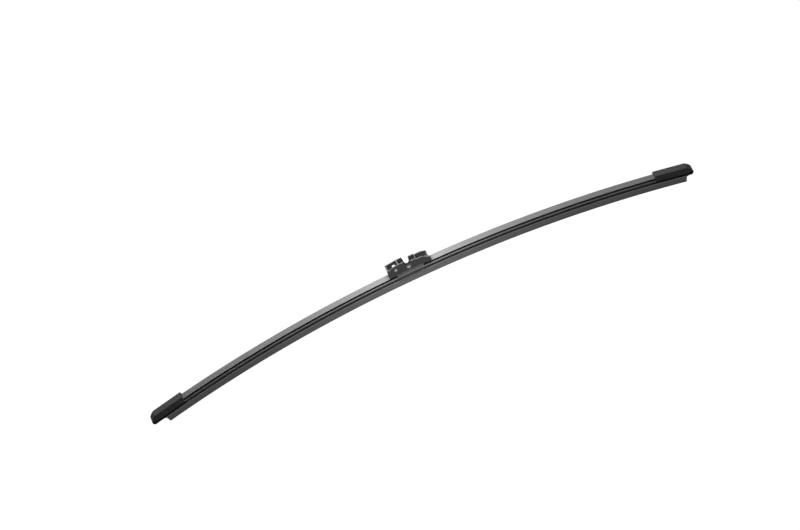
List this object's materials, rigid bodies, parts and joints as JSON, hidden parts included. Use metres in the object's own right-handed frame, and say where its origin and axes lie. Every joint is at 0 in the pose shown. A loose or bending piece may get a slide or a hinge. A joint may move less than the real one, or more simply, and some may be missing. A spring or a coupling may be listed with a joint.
{
  "type": "wiper blade",
  "caption": "Flat beam wiper blade for a rear window: bowed rubber strip with a wiping lip on spring rails, a clasp and open pin seat for the arm at the middle, moulded end caps.",
  "frame": {"origin": "on the axis of the arm pin seat, midway between the adapter's cheeks", "axes": "+X along the blade, +Y along the pin's axis, +Z away from the glass"},
  "size_m": [0.396, 0.0114, 0.0385],
  "materials": {
    "rubber": "matte, graphite bloom on the lip",
    "rail_steel": "satin black coat",
    "clasp_steel": "satin black coat",
    "adapter_plastic": "satin, fine grain",
    "cap_plastic": "satin, fine grain"
  },
  "bodies": {
    "root": {"wiper_strip": "rubber", "spring_rail_front": "rail_steel", "spring_rail_rear": "rail_steel", "rail_clasp": "clasp_steel", "arm_adapter": "adapter_plastic", "end_cap_left": "cap_plastic", "end_cap_right": "cap_plastic"}
  },
  "joints": []
}
